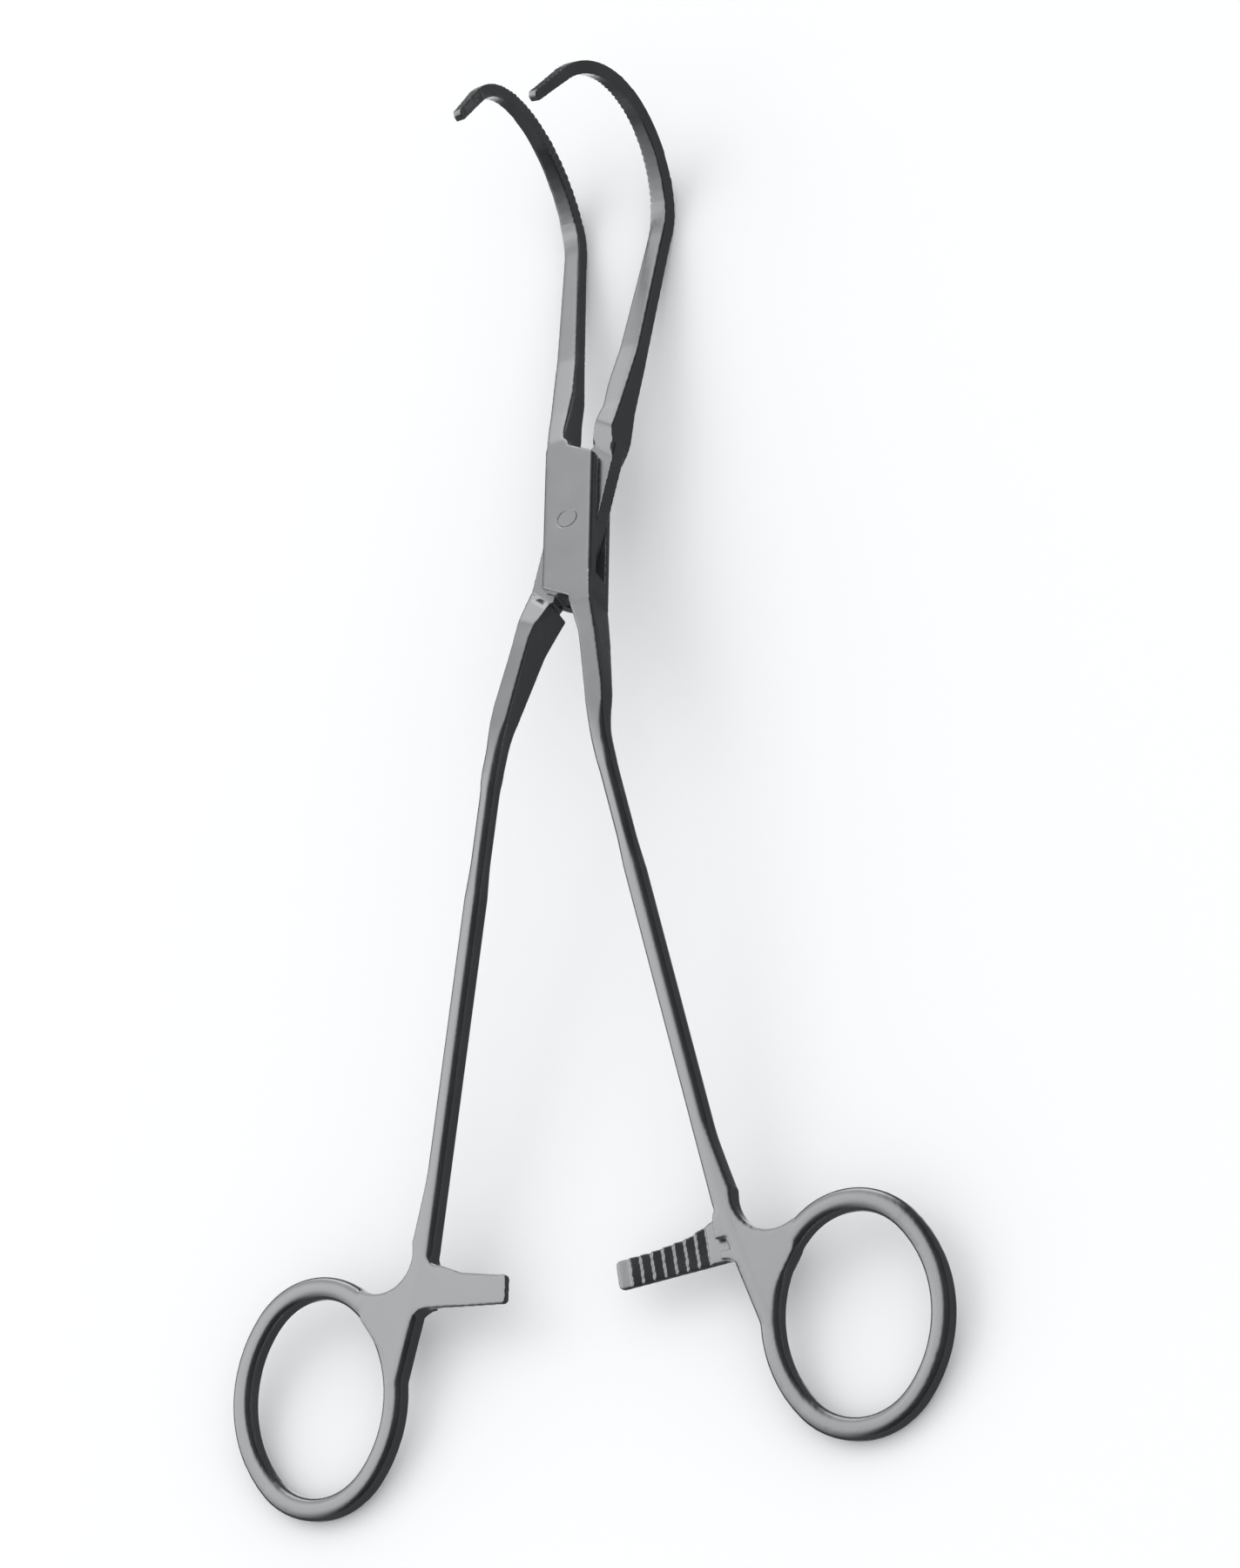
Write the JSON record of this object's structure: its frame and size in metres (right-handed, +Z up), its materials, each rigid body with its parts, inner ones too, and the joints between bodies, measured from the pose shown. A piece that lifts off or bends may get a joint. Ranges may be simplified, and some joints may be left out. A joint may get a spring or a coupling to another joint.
{
  "type": "vascular clamp",
  "caption": "Curved vascular clamp with finger rings, ratchet bars, a box lock and deeply bowed toothed jaws, lying partly open.",
  "frame": {"origin": "centre of the footprint's bounding box, on the surface that the clamp lies on", "axes": "+Z up from the surface, +Y along the clamp from the finger rings to the jaws, +X to the right when the front of the lock is looked at from above with the jaws pointing away"},
  "size_m": [0.0982, 0.1842, 0.0345],
  "materials": {
    "satin_steel": "satin stainless steel with brighter edges",
    "ground_steel": "ground flush with the satin faces of the lock"
  },
  "bodies": {
    "box_side": {"box_half": "satin_steel", "pivot_pin": "ground_steel"},
    "tenon_side": {"tenon_half": "satin_steel"}
  },
  "joints": [
    {"name": "lock_pivot", "type": "hinge", "parent": "box_side", "child": "tenon_side", "pos_m": [0, 0.03086, 0.01042], "axis": [0, 0.1879, 0.9822], "range_deg": [-24, 12]}
  ]
}
